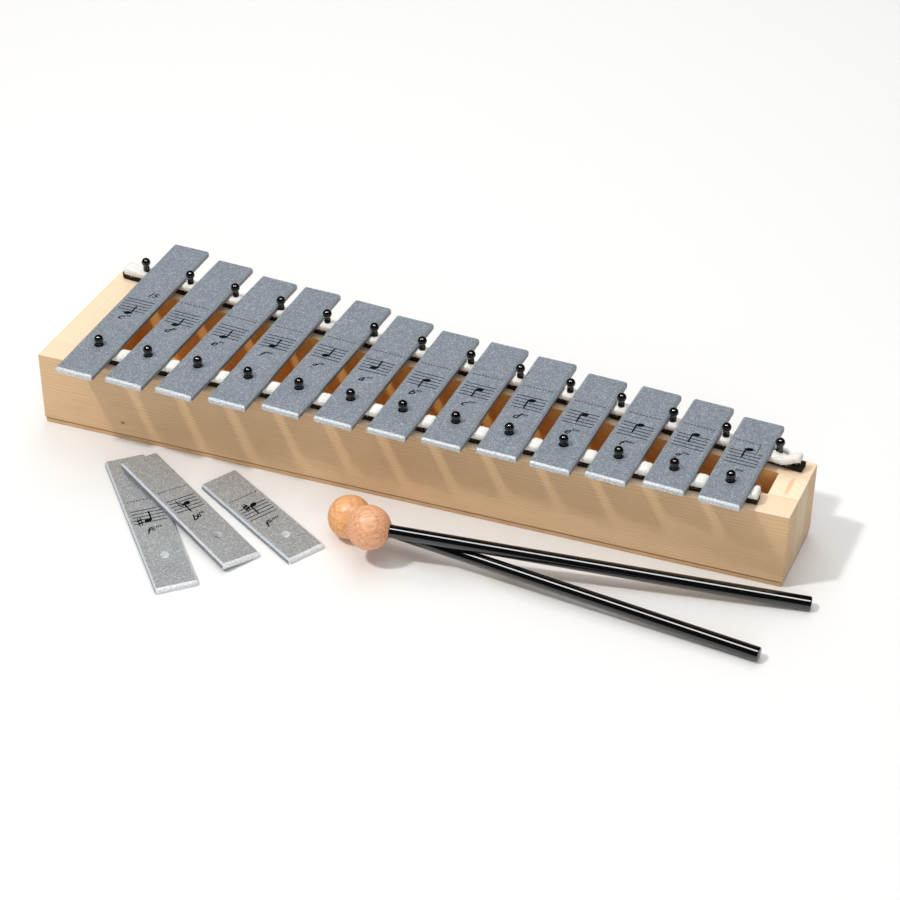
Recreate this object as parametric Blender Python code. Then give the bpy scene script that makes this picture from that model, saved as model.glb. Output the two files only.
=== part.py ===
"""Diatonic soprano glockenspiel: metal bars on felt over a pine box resonator,
with its three exchange bars and two mallets lying in front of it.

Metres, +Z up. +X runs along the box from the low notes to the high ones, and +Y
points away from the player. The origin is the middle of the base panel's underside.
"""

import math

import bmesh
import bpy
from mathutils import Euler, Matrix, Vector

# ---- Clearance between pieces that rest on each other ----
clearance = 0.0003

# ---- Bars ----
bar_width = 0.020
bar_thickness = 0.0032
bar_gap = 0.0075
lowest_bar_length = 0.1275
bar_chamfer = 0.0004
bar_back_corner = 0.0016
bar_front_corner = 0.0006
bar_hole_diameter = 0.0054
spare_hole_share = 0.2242  # a free bar's nodes lie at this share of its length

# Pitches in hertz. A bar's length falls with the square root of its pitch.
row_pitches = [
    1046.5, 1174.7, 1318.5, 1396.9, 1568.0, 1760.0, 1975.5,
    2093.0, 2349.3, 2637.0, 2793.8, 3136.0, 3520.0,
]
f_sharp_pitch = 1480.0
b_flat_pitch = 1864.7
high_f_sharp_pitch = 2960.0

# How each bar of the row lies: how far its middle sits behind the box's middle line,
# and how much of its play between the back pins it is turned by.
bar_shifts = [
    0.0010, -0.0005, -0.0018, -0.0005, 0.0014, -0.0001, -0.0009,
    0.0008, 0.0011, -0.0008, 0.0006, 0.0026, 0.0001,
]
bar_turns = [0.40, -0.25, -0.72, 0.10, -0.75, -0.20, 0.0, 0.20, 0.43, 0.0, -0.37, -0.24, -0.10]

# ---- Supports: the distance from a bar's end to the pin line, at both ends of the row ----
low_support_inset = 0.0271
high_support_inset = 0.0173

# ---- Box ----
base_thickness = 0.003
base_inset = 0.0004
board_height = 0.039
board_thickness = 0.015
board_edge = 0.0006
end_margin = 0.0315  # from the middle of the first or last bar to the box's end

# ---- Black damping strips and white bar felts ----
strip_width = 0.0068
strip_thickness = 0.0026
felt_width = 0.0070
felt_thickness = 0.0022
front_strip_end_gap = 0.0175
back_strip_left_gap = 0.0022
back_strip_right_gap = 0.0052
back_felt_left_gap = 0.0056
back_felt_right_gap = 0.0064

# ---- Pins ----
pin_diameter = 0.0030
pin_neck_diameter = 0.0021
pin_ball_diameter = 0.0044
pin_ball_rise = 0.0034  # from the bar's top to the ball's middle
pin_depth = 0.018
pin_point = 0.0016
pin_sides = 10

# ---- Loose pieces: the places are along the front board's foot, and in front of it ----
f_sharp_place = (-0.1079, 0.0596)
f_sharp_turn = 39.3
high_f_sharp_place = (-0.0582, 0.0363)
high_f_sharp_turn = 58.1
b_flat_overhang = 0.0097  # its middle's distance past the edge of the bar that it lies on
b_flat_slide = 0.0003
b_flat_turn = 17.3

# ---- Mallets ----
mallet_head_diameter = 0.022
mallet_head_flat = 0.0008
mallet_reach = 0.2124  # from the head's middle to the handle's end
mallet_socket = 0.0085
handle_head_diameter = 0.0064
handle_end_diameter = 0.0070
handle_end_chamfer = 0.0007
mallet_sides = 20
lower_mallet_place = (-0.0120, 0.0332)
lower_mallet_turn = -5.7
mallet_crossing_angle = 15.7
upper_crossing_share = 2.07  # from the upper head's middle to the crossing, in head diameters

# ---- Derived sizes ----
row_count = len(row_pitches)
pitch_step = bar_width + bar_gap
half_row = (row_count - 1) / 2 * pitch_step
half_box = half_row + end_margin
upper_crossing_reach = upper_crossing_share * mallet_head_diameter
box_top = base_thickness + clearance + board_height
strip_bottom = box_top + clearance
felt_bottom = strip_bottom + strip_thickness + clearance
bar_bottom = felt_bottom + felt_thickness + clearance
bar_top = bar_bottom + bar_thickness
hole_radius = pin_diameter / 2 + clearance


def bar_length(pitch):
    return lowest_bar_length * math.sqrt(row_pitches[0] / pitch)


low_half_span = lowest_bar_length / 2 - low_support_inset
high_half_span = bar_length(row_pitches[-1]) / 2 - high_support_inset
pin_line_slope = (low_half_span - high_half_span) / (2 * half_row)
pin_line_angle = math.atan(pin_line_slope)


def half_span(x):
    """Distance from the box's middle line to a pin line."""
    return (low_half_span + high_half_span) / 2 - pin_line_slope * x


def side_line(x, outwards):
    """Distance from the middle line to a line that runs this far outside the pin line."""
    return half_span(x) + outwards / math.cos(pin_line_angle)


# ---- Scene and materials ----


def clear_scene():
    for obj in list(bpy.data.objects):
        bpy.data.objects.remove(obj)


def finish(name, colour, roughness, metallic=0.0):
    material = bpy.data.materials.new(name)
    material.use_nodes = True
    shader = material.node_tree.nodes["Principled BSDF"]
    shader.inputs["Base Color"].default_value = (*colour, 1.0)
    shader.inputs["Roughness"].default_value = roughness
    shader.inputs["Metallic"].default_value = metallic
    return material


def add_object(name, mesh, material, location=(0, 0, 0), turn=0.0, parent=None):
    obj = bpy.data.objects.new(name, mesh)
    bpy.context.scene.collection.objects.link(obj)
    obj.location = location
    obj.rotation_euler = Euler((0, 0, turn))
    obj.parent = parent
    if material:
        mesh.materials.append(material)
    return obj


def add_empty(name, matrix, parent=None):
    empty = bpy.data.objects.new(name, None)
    bpy.context.scene.collection.objects.link(empty)
    empty.empty_display_size = 0.01
    empty.parent = parent
    empty.matrix_local = matrix
    return empty


def mesh_from(build, name):
    shape = bmesh.new()
    build(shape)
    bmesh.ops.recalc_face_normals(shape, faces=shape.faces)
    mesh = bpy.data.meshes.new(name)
    shape.to_mesh(mesh)
    shape.free()
    return mesh


# ---- Shape builders ----


def prism_mesh(name, outline, bottom, top):
    """A flat outline, given counterclockwise, raised from bottom to top."""

    def build(shape):
        low = [shape.verts.new((x, y, bottom)) for x, y in outline]
        high = [shape.verts.new((x, y, top)) for x, y in outline]
        shape.faces.new(low[::-1])
        shape.faces.new(high)
        for i in range(len(outline)):
            j = (i + 1) % len(outline)
            shape.faces.new((low[i], low[j], high[j], high[i]))

    return mesh_from(build, name)


def turned_mesh(name, profile, sides, axis="Z"):
    """A closed turning of (radius, height) points, which start and end on the axis."""
    stand = Matrix.Rotation(math.pi / 2, 4, "Y") if axis == "X" else Matrix()

    def build(shape):
        rings = []
        for radius, height in profile:
            if radius == 0:
                rings.append([shape.verts.new((0, 0, height))])
                continue
            angles = [2 * math.pi * i / sides for i in range(sides)]
            ring = [(radius * math.cos(a), radius * math.sin(a), height) for a in angles]
            rings.append([shape.verts.new(point) for point in ring])
        for ring, above in zip(rings, rings[1:]):
            for i in range(sides):
                j = (i + 1) % sides
                corners = [ring[i % len(ring)], ring[j % len(ring)]]
                corners += [above[j % len(above)], above[i % len(above)]]
                unique = list(dict.fromkeys(corners))
                shape.faces.new(unique)
        shape.transform(stand)

    mesh = mesh_from(build, name)
    mesh.shade_smooth()
    mesh.set_sharp_from_angle(angle=math.radians(40))
    return mesh


def arc(centre_x, centre_y, radius, start, end, steps):
    """Points along an arc, with its angles in degrees."""
    angles = [math.radians(start + (end - start) * i / steps) for i in range(steps + 1)]
    return [(centre_x + radius * math.cos(a), centre_y + radius * math.sin(a)) for a in angles]


def bar_outline(front, back, inset):
    """A bar seen from above, from its front end at y = front to its back end at y = back."""
    side = bar_width / 2
    outline = []
    for centre_side, centre_y, radius, start in (
        (1, front, bar_front_corner, -90),
        (1, back, bar_back_corner, 0),
        (-1, back, bar_back_corner, 90),
        (-1, front, bar_front_corner, 180),
    ):
        inwards = 1 if centre_y == front else -1
        x = centre_side * (side - radius)
        y = centre_y + inwards * radius
        outline += arc(x, y, radius - inset, start, start + 90, 3)
    return outline


def bar_mesh(name, front, back):
    """A chamfered bar with its hole at the origin and its underside at z = 0."""
    layers = (
        (bar_chamfer, 0.0),
        (0.0, bar_chamfer),
        (0.0, bar_thickness - bar_chamfer),
        (bar_chamfer, bar_thickness),
    )
    sides = 20
    hole = arc(0, 0, bar_hole_diameter / 2, 0, 360 * (sides - 1) / sides, sides - 1)

    def build(shape):
        rings = []
        for inset, height in layers:
            points = bar_outline(front, back, inset)
            rings.append([shape.verts.new((x, y, height)) for x, y in points])
        low_hole = [shape.verts.new((x, y, 0.0)) for x, y in hole]
        high_hole = [shape.verts.new((x, y, bar_thickness)) for x, y in hole]
        for ring, above in zip(rings, rings[1:]):
            for i in range(len(ring)):
                j = (i + 1) % len(ring)
                shape.faces.new((ring[i], ring[j], above[j], above[i]))
        for i in range(sides):
            j = (i + 1) % sides
            shape.faces.new((low_hole[j], low_hole[i], high_hole[i], high_hole[j]))
        for outer, inner in ((rings[0], low_hole), (rings[-1], high_hole)):
            edges = [e for e in shape.edges if e.verts[0] in outer and e.verts[1] in outer]
            edges += [e for e in shape.edges if e.verts[0] in inner and e.verts[1] in inner]
            bmesh.ops.triangle_fill(shape, edges=edges, use_beauty=True)

    return mesh_from(build, name)


# ---- Cutting ----


def drill_along(name, xs, side, bottom, top):
    """One cutter with an upright cylinder at each x on the front (-1) or back (1) pin line."""

    def build(shape):
        for x in xs:
            place = Matrix.Translation((x, side * half_span(x), (bottom + top) / 2))
            bmesh.ops.create_cone(
                shape,
                cap_ends=True,
                segments=pin_sides,
                radius1=hole_radius,
                radius2=hole_radius,
                depth=top - bottom,
                matrix=place @ Matrix.Rotation(math.pi / 2, 4, "Z"),
            )

    cutter = add_object(name, mesh_from(build, name), None)
    cutter.hide_render = True
    cutter.display_type = "WIRE"
    return cutter


def cut(obj, cutter):
    modifier = obj.modifiers.new("pin_holes", "BOOLEAN")
    modifier.operation = "DIFFERENCE"
    modifier.solver = "EXACT"
    modifier.object = cutter


def ease_edges(obj, width):
    modifier = obj.modifiers.new("eased_edges", "BEVEL")
    modifier.width = width
    modifier.segments = 1
    modifier.limit_method = "ANGLE"
    modifier.angle_limit = math.radians(40)


# ---- Box ----


def side_board_outline(side):
    """The front (-1) or back (1) board, centred on its pin line."""
    outer = board_thickness / 2
    left = -half_box
    right = half_box
    points = [
        (left, side_line(left, -outer)),
        (right, side_line(right, -outer)),
        (right, side_line(right, outer)),
        (left, side_line(left, outer)),
    ]
    return [(x, side * y) for x, y in points][::side]


def end_block_outline(end):
    """The block between the boards at the left (-1) or right (1) end."""
    inner = -board_thickness / 2 - clearance
    outer_x = end * half_box
    inner_x = end * (half_box - board_thickness)
    low = min(outer_x, inner_x)
    high = max(outer_x, inner_x)
    return [
        (low, -side_line(low, inner)),
        (high, -side_line(high, inner)),
        (high, side_line(high, inner)),
        (low, side_line(low, inner)),
    ]


def base_outline():
    outer = board_thickness / 2 - base_inset
    end = half_box - base_inset
    return [
        (-end, -side_line(-end, outer)),
        (end, -side_line(end, outer)),
        (end, side_line(end, outer)),
        (-end, side_line(-end, outer)),
    ]


def make_box(pine, plywood, drills):
    bottom = base_thickness + clearance
    for name, side in (("front_board", -1), ("back_board", 1)):
        mesh = prism_mesh(name, side_board_outline(side), bottom, box_top)
        board = add_object(name, mesh, pine)
        ease_edges(board, board_edge)
        cut(board, drills[side])
    for name, end in (("left_end_block", -1), ("right_end_block", 1)):
        mesh = prism_mesh(name, end_block_outline(end), bottom, box_top)
        ease_edges(add_object(name, mesh, pine), board_edge)
    mesh = prism_mesh("base_panel", base_outline(), 0.0, base_thickness)
    add_object("base_panel", mesh, plywood)


# ---- Strips and felts ----


def strip_outline(side, left, right, width):
    """A strip of this width along the front (-1) or back (1) pin line, cut square."""
    start = Vector((left, side * half_span(left)))
    end = Vector((right, side * half_span(right)))
    along = (end - start).normalized()
    across = Vector((-along.y, along.x)) * width / 2
    return [tuple(p) for p in (start - across, end - across, end + across, start + across)]


def make_rails(black, white, drills):
    front_end = half_box - front_strip_end_gap
    rails = (
        ("front_damping_strip", -1, -front_end, front_end, strip_width, black),
        ("front_bar_felt", -1, -front_end, front_end, felt_width, white),
        (
            "back_damping_strip",
            1,
            back_strip_left_gap - half_box,
            half_box - back_strip_right_gap,
            strip_width,
            black,
        ),
        (
            "back_bar_felt",
            1,
            back_felt_left_gap - half_box,
            half_box - back_felt_right_gap,
            felt_width,
            white,
        ),
    )
    for name, side, left, right, width, material in rails:
        bottom = strip_bottom if material is black else felt_bottom
        top = bottom + (strip_thickness if material is black else felt_thickness)
        mesh = prism_mesh(name, strip_outline(side, left, right, width), bottom, top)
        cut(add_object(name, mesh, material), drills[side])


# ---- Pins ----


def pin_profile():
    """From the point, sunk in the board, to the top of the ball; height 0 is the bar's top."""
    radius = pin_diameter / 2
    neck = pin_neck_diameter / 2
    ball = pin_ball_diameter / 2
    point = box_top - pin_depth - bar_top
    neck_angle = math.degrees(math.asin(neck / ball))
    shoulder = pin_ball_rise - ball * math.cos(math.radians(neck_angle)) - (radius - neck)
    profile = [(0, point), (radius, point + pin_point), (radius, shoulder)]
    steps = 5
    for i in range(steps):
        angle = math.radians(neck_angle + (180 - neck_angle) * i / steps)
        profile.append((ball * math.sin(angle), pin_ball_rise - ball * math.cos(angle)))
    profile.append((0, pin_ball_rise + ball))
    return profile


def row_places():
    return [(i * pitch_step) - half_row for i in range(row_count)]


def gap_places():
    return [i * pitch_step - half_row - pitch_step / 2 for i in range(row_count + 1)]


def make_pins(material):
    mesh = turned_mesh("pin", pin_profile(), pin_sides)
    mesh.materials.append(material)
    for name, side, xs in (("front_pin", -1, row_places()), ("back_pin", 1, gap_places())):
        for i, x in enumerate(xs):
            place = (x, side * half_span(x), bar_top)
            add_object(f"{name}_{i + 1:02d}", mesh, None, place)


# ---- Bars ----


def make_row(paint):
    for i, (x, pitch) in enumerate(zip(row_places(), row_pitches)):
        name = f"bar_{i + 1:02d}"
        length = bar_length(pitch)
        front_to_back = half_span(x) + half_span(x - pitch_step / 2)
        play = bar_gap / 2 - pin_diameter / 2 - clearance
        turn = bar_turns[i] * math.asin(play / front_to_back)
        middle = (half_span(x) + bar_shifts[i]) / math.cos(turn)
        mesh = bar_mesh(name, middle - length / 2, middle + length / 2)
        add_object(name, mesh, paint, (x, -half_span(x), bar_bottom), turn)


def spare_bar(name, pitch, matrix, parent, paint):
    """An exchange bar with its middle at the matrix's origin, lying on that plane."""
    length = bar_length(pitch)
    hole = spare_hole_share * length
    mesh = bar_mesh(name, -hole, length - hole)
    bar = add_object(name, mesh, paint, parent=parent)
    bar.matrix_local = matrix @ Matrix.Translation((0, hole - length / 2, 0))


def ground_matrix(place, turn, height=0.0):
    along, in_front = place
    turned = Matrix.Rotation(math.radians(turn), 4, "Z")
    return Matrix.Translation((along, -in_front, height)) @ turned


def make_spare_bars(paint, foot):
    spare_bar("spare_bar_f_sharp", f_sharp_pitch, ground_matrix(f_sharp_place, f_sharp_turn), foot, paint)
    place = ground_matrix(high_f_sharp_place, high_f_sharp_turn)
    spare_bar("spare_bar_high_f_sharp", high_f_sharp_pitch, place, foot, paint)

    # The b flat bar leans on the f sharp bar's long top edge and on its own far corner.
    edge = ground_matrix(f_sharp_place, f_sharp_turn) @ Matrix.Translation(
        (bar_width / 2, b_flat_slide, bar_thickness + clearance)
    )
    turn = math.radians(b_flat_turn)
    half_length = bar_length(b_flat_pitch) / 2
    reach = b_flat_overhang + bar_width / 2 * math.cos(turn) + half_length * math.sin(turn)
    tilt = math.asin((bar_thickness + clearance) / reach)
    lean = Matrix.Rotation(tilt, 4, "Y")
    place = Matrix.Translation((b_flat_overhang, 0, 0)) @ Matrix.Rotation(turn, 4, "Z")
    leaning_edge = add_empty("b_flat_lean", edge @ lean, foot)
    spare_bar("spare_bar_b_flat", b_flat_pitch, place, leaning_edge, paint)


# ---- Mallets: each lies along +X of its own frame, with the head's middle at the origin ----


def head_profile():
    radius = mallet_head_diameter / 2
    bore = handle_head_diameter / 2 + clearance
    flat = radius - mallet_head_flat
    flat_angle = math.degrees(math.acos(flat / radius))
    profile = [(0, -radius)]
    steps = 9
    for i in range(1, steps + 1):
        angle = math.radians(180 - (180 - flat_angle) * i / steps)
        profile.append((radius * math.sin(angle), radius * math.cos(angle)))
    bottom = flat - mallet_socket
    return profile + [(bore, flat), (bore, bottom), (0, bottom)]


def handle_radius(distance):
    """The handle's radius at this distance from the head's middle."""
    share = distance / mallet_reach
    return (handle_head_diameter + (handle_end_diameter - handle_head_diameter) * share) / 2


def handle_profile():
    start = mallet_head_diameter / 2 - mallet_head_flat - mallet_socket + clearance
    chamfer = handle_end_chamfer
    end_radius = handle_end_diameter / 2
    return [
        (0, start),
        (handle_head_diameter / 2, start),
        (end_radius, mallet_reach - chamfer),
        (end_radius - chamfer, mallet_reach),
        (0, mallet_reach),
    ]


def make_mallet(name, matrix, foot, wood, black):
    holder = add_empty(f"{name}_rest", matrix, foot)
    head = turned_mesh(f"{name}_head", head_profile(), mallet_sides, "X")
    add_object(f"{name}_head", head, wood, parent=holder)
    handle = turned_mesh(f"{name}_handle", handle_profile(), mallet_sides - 4, "X")
    add_object(f"{name}_handle", handle, black, parent=holder)


def make_mallets(foot, wood, black):
    head_height = mallet_head_diameter / 2
    end_height = handle_end_diameter / 2
    slope = math.asin((head_height - end_height) / mallet_reach)
    lie = Matrix.Rotation(slope, 4, "Y")
    lower = ground_matrix(lower_mallet_place, lower_mallet_turn, head_height) @ lie
    make_mallet("lower_mallet", lower, foot, wood, black)

    # The upper mallet lies on the lower handle, with its end on the ground and the heads
    # side by side. How far its head stands ahead of the other follows from both touching.
    angle = math.radians(mallet_crossing_angle)
    aside = upper_crossing_reach * math.sin(angle)
    ahead = mallet_head_diameter
    for _ in range(12):
        lower_reach = ahead + upper_crossing_reach * math.cos(angle)
        lower_height = head_height - lower_reach * math.tan(slope)
        handles = handle_radius(lower_reach) + handle_radius(upper_crossing_reach) + clearance
        crossing_height = lower_height + handles / math.cos(slope)
        far_side = mallet_reach - upper_crossing_reach
        climb = (crossing_height - end_height) / far_side
        upper_height = crossing_height + climb * upper_crossing_reach
        rise = upper_height - head_height
        touching = mallet_head_diameter + clearance
        ahead = math.sqrt(touching**2 - aside**2 - rise**2)
    turn = math.radians(lower_mallet_turn)
    along = Vector((math.cos(turn), math.sin(turn)))
    left = Vector((-along.y, along.x))
    start = Vector((lower_mallet_place[0], -lower_mallet_place[1]))
    head = start + along * ahead - left * aside
    rest = ground_matrix((head.x, -head.y), lower_mallet_turn + mallet_crossing_angle, upper_height)
    upper = rest @ Matrix.Rotation(math.asin((upper_height - end_height) / mallet_reach), 4, "Y")
    make_mallet("upper_mallet", upper, foot, wood, black)


def main():
    clear_scene()
    pine = finish("pine", (0.80, 0.60, 0.38), 0.55)
    plywood = finish("plywood", (0.72, 0.52, 0.32), 0.6)
    black_strip = finish("black_damping_strip", (0.02, 0.016, 0.012), 0.9)
    white_felt = finish("white_felt", (0.86, 0.84, 0.80), 0.95)
    pin_plastic = finish("black_pin_coating", (0.01, 0.01, 0.012), 0.2)
    bar_paint = finish("silver_bar_paint", (0.36, 0.40, 0.44), 0.4, 0.6)
    beech = finish("beech", (0.78, 0.45, 0.27), 0.45)
    handle_black = finish("black_handle", (0.01, 0.01, 0.012), 0.15)

    drill_bottom = box_top - pin_depth - clearance
    drill_top = bar_top
    drills = {
        -1: drill_along("front_pin_drill", row_places(), -1, drill_bottom, drill_top),
        1: drill_along("back_pin_drill", gap_places(), 1, drill_bottom, drill_top),
    }
    make_box(pine, plywood, drills)
    make_rails(black_strip, white_felt, drills)
    make_pins(pin_plastic)
    make_row(bar_paint)

    # The loose pieces are placed from the foot of the front board's outer face.
    foot_place = Matrix.Translation((0, -side_line(0, board_thickness / 2), 0))
    foot = add_empty("front_foot", foot_place @ Matrix.Rotation(pin_line_angle, 4, "Z"))
    make_spare_bars(bar_paint, foot)
    make_mallets(foot, beech, handle_black)


main()
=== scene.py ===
import math

import bmesh
import bpy
from mathutils import Matrix, Vector, noise


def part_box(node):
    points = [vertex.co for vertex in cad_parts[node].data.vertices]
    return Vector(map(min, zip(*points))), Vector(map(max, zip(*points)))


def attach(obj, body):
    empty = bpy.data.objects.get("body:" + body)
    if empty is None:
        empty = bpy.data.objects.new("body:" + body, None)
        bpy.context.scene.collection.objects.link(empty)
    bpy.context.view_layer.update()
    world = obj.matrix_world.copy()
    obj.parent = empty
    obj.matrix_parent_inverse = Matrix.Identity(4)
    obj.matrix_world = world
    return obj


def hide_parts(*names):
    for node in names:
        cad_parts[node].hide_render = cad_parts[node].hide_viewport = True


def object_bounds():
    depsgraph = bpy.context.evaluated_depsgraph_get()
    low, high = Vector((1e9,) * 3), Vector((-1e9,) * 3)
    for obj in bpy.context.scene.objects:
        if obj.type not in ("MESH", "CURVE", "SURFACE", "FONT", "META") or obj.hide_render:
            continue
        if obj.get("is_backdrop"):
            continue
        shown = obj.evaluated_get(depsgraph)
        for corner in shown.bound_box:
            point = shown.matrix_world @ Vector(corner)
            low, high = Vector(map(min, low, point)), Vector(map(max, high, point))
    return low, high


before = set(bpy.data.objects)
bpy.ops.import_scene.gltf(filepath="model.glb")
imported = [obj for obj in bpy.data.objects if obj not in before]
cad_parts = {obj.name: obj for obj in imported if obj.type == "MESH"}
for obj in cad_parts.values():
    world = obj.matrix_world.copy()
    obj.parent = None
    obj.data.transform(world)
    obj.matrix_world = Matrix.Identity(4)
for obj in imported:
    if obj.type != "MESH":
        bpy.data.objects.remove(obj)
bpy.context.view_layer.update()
mm = 0.001


# Small helpers for node trees. A value is a plain number, vector or colour, or a socket to link.


def put(tree, kind, inputs=None, **settings):
    node = tree.nodes.new(kind)
    for name, value in settings.items():
        setattr(node, name, value)
    for name, value in (inputs or {}).items():
        if isinstance(value, bpy.types.NodeSocket):
            tree.links.new(value, node.inputs[name])
        else:
            node.inputs[name].default_value = value
    return node


def sums(tree, operation, first, second=0.0, third=0.0):
    return put(tree, "ShaderNodeMath", {0: first, 1: second, 2: third}, operation=operation).outputs[0]


def vectorSum(tree, operation, first, second):
    return put(tree, "ShaderNodeVectorMath", {0: first, 1: second}, operation=operation).outputs[0]


def mixed(tree, share, first, second):
    return put(tree, "ShaderNodeMix", {0: share, 6: first, 7: second}, data_type="RGBA").outputs[2]


def between(tree, value, low, high, newLow=0.0, newHigh=1.0, smooth=False):
    kind = "SMOOTHSTEP" if smooth else "LINEAR"
    inputs = {0: value, 1: low, 2: high, 3: newLow, 4: newHigh}
    return put(tree, "ShaderNodeMapRange", inputs, interpolation_type=kind).outputs[0]


def clouded(tree, vector, scale, detail=2.0, roughness=0.5):
    inputs = {"Vector": vector, "Scale": scale, "Detail": detail, "Roughness": roughness}
    return put(tree, "ShaderNodeTexNoise", inputs).outputs["Fac"]


def speckle(tree, vector, size, detail=2.0, roughness=0.5):
    return clouded(tree, vector, 1 / size, detail, roughness)


def startGroup(name, kind, inputs, outputs):
    tree = bpy.data.node_groups.new(name, kind)
    for label, (socketType, value) in inputs.items():
        socket = tree.interface.new_socket(label, in_out="INPUT", socket_type=socketType)
        if value is not None:
            socket.default_value = value
    for label, socketType in outputs.items():
        tree.interface.new_socket(label, in_out="OUTPUT", socket_type=socketType)
    return tree, tree.nodes.new("NodeGroupInput").outputs, tree.nodes.new("NodeGroupOutput").inputs


def finishTree(tree, made, geometry, material):
    # Real geometry in one material, sent to the group's output.
    solid = put(tree, "GeometryNodeRealizeInstances", {"Geometry": geometry})
    coated = put(tree, "GeometryNodeSetMaterial", {"Geometry": solid.outputs[0], "Material": material})
    tree.links.new(coated.outputs[0], made["Geometry"])
    return tree


def number(value):
    return ("NodeSocketFloat", value)


# Wood: growth rings round a far pith line that runs along X, with fine fibres along it.


def woodFigureGroup():
    tree, given, made = startGroup(
        "woodFigure",
        "ShaderNodeTree",
        {
            "Vector": ("NodeSocketVector", None),
            "Ring Spacing": number(0.0016),
            "Wander": number(0.003),
            "Fibre Width": number(0.00025),
            "Fibre Stretch": number(0.018),
        },
        {"Rings": "NodeSocketFloat", "Fibres": "NodeSocketFloat", "Clouds": "NodeSocketFloat"},
    )
    long = vectorSum(tree, "MULTIPLY", given["Vector"], (0.12, 1.0, 1.0))
    drift = sums(tree, "SUBTRACT", speckle(tree, long, 0.016, 2.0), 0.5)
    ripple = sums(tree, "SUBTRACT", speckle(tree, long, 0.0035, 2.0), 0.5)
    parts = put(tree, "ShaderNodeSeparateXYZ", {0: given["Vector"]}).outputs
    squares = sums(tree, "MULTIPLY", parts["Y"], parts["Y"])
    squares = sums(tree, "MULTIPLY_ADD", parts["Z"], parts["Z"], squares)
    reach = sums(tree, "SQRT", squares)
    reach = sums(tree, "MULTIPLY_ADD", drift, given["Wander"], reach)
    reach = sums(tree, "MULTIPLY_ADD", ripple, sums(tree, "MULTIPLY", given["Wander"], 0.16), reach)
    turn = sums(tree, "FRACT", sums(tree, "DIVIDE", reach, given["Ring Spacing"]))
    rise = between(tree, turn, 0.42, 0.86, smooth=True)
    fall = between(tree, turn, 0.88, 0.99, 1.0, 0.0, smooth=True)
    tree.links.new(sums(tree, "MULTIPLY", rise, fall), made["Rings"])
    stretch = put(tree, "ShaderNodeCombineXYZ", {"X": given["Fibre Stretch"], "Y": 1.0, "Z": 1.0}).outputs[0]
    streaks = vectorSum(tree, "MULTIPLY", given["Vector"], stretch)
    scale = sums(tree, "DIVIDE", 1.0, given["Fibre Width"])
    tree.links.new(clouded(tree, streaks, scale, 3.0), made["Fibres"])
    tree.links.new(speckle(tree, long, 0.03, 3.0, 0.6), made["Clouds"])
    return tree


# Fine dents, dust and handling that change how a finish shines.


def handlingGroup():
    tree, given, made = startGroup(
        "handling",
        "ShaderNodeTree",
        {"Vector": ("NodeSocketVector", None), "Smudge Size": number(0.02), "Grain Size": number(0.0006)},
        {"Smudge": "NodeSocketFloat", "Grain": "NodeSocketFloat"},
    )
    for label, size, detail in (("Smudge", "Smudge Size", 4.0), ("Grain", "Grain Size", 2.0)):
        scale = sums(tree, "DIVIDE", 1.0, given[size])
        tree.links.new(clouded(tree, given["Vector"], scale, detail), made[label])
    return tree


# Matted wool or jute: crossing threads over soft lumps.


def mattedGroup():
    tree, given, made = startGroup(
        "mattedFibres",
        "ShaderNodeTree",
        {"Vector": ("NodeSocketVector", None), "Thread Size": number(0.0004)},
        {"Threads": "NodeSocketFloat", "Lumps": "NodeSocketFloat"},
    )
    scale = sums(tree, "DIVIDE", 1.0, given["Thread Size"])
    bends = put(tree, "ShaderNodeTexNoise", {"Vector": given["Vector"], "Scale": 900.0}).outputs["Color"]
    bends = put(tree, "ShaderNodeVectorMath", {0: bends, "Scale": 0.0012}, operation="SCALE").outputs[0]
    warped = vectorSum(tree, "ADD", given["Vector"], bends)
    layers = []
    for turn in ((0.2, 0.5, 0.7), (1.3, -0.6, 2.1)):
        spun = put(tree, "ShaderNodeMapping", {"Vector": warped, "Rotation": turn, "Scale": (0.12, 1.0, 1.0)})
        layers.append(clouded(tree, spun.outputs[0], scale))
    threads = sums(tree, "MAXIMUM", layers[0], layers[1])
    tree.links.new(between(tree, threads, 0.35, 0.75), made["Threads"])
    tree.links.new(speckle(tree, given["Vector"], 0.0035, 3.0), made["Lumps"])
    return tree


# Crushed metal flake in a paint.


def flakeGroup():
    tree, given, made = startGroup(
        "paintFlakes",
        "ShaderNodeTree",
        {"Vector": ("NodeSocketVector", None), "Flake Size": number(0.0004)},
        {"Flakes": "NodeSocketFloat", "Mottle": "NodeSocketFloat"},
    )
    scale = sums(tree, "DIVIDE", 1.0, given["Flake Size"])
    cells = put(tree, "ShaderNodeTexVoronoi", {"Vector": given["Vector"], "Scale": scale, "Randomness": 1.0})
    hue = put(tree, "ShaderNodeSeparateColor", {0: cells.outputs["Color"]}).outputs[0]
    tree.links.new(hue, made["Flakes"])
    wide = sums(tree, "MULTIPLY", scale, 0.75)
    tree.links.new(clouded(tree, given["Vector"], wide, 3.0, 0.65), made["Mottle"])
    return tree


woodFigure = woodFigureGroup()
handling = handlingGroup()
mattedFibres = mattedGroup()
paintFlakes = flakeGroup()


def useGroup(tree, group, inputs):
    return put(tree, "ShaderNodeGroup", inputs, node_tree=group).outputs


def startMaterial(name, roughness, metallic=0.0, specular=0.5):
    material = bpy.data.materials.new(name)
    material.use_nodes = True
    tree = material.node_tree
    shader = tree.nodes["Principled BSDF"]
    shader.inputs["Roughness"].default_value = roughness
    shader.inputs["Metallic"].default_value = metallic
    shader.inputs["Specular IOR Level"].default_value = specular
    where = tree.nodes.new("ShaderNodeTexCoord").outputs["Object"]
    return material, tree, shader, where


def setBump(tree, shader, height, strength, distance):
    inputs = {"Height": height, "Strength": strength, "Distance": distance}
    bump = put(tree, "ShaderNodeBump", inputs)
    tree.links.new(bump.outputs[0], shader.inputs["Normal"])


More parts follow.
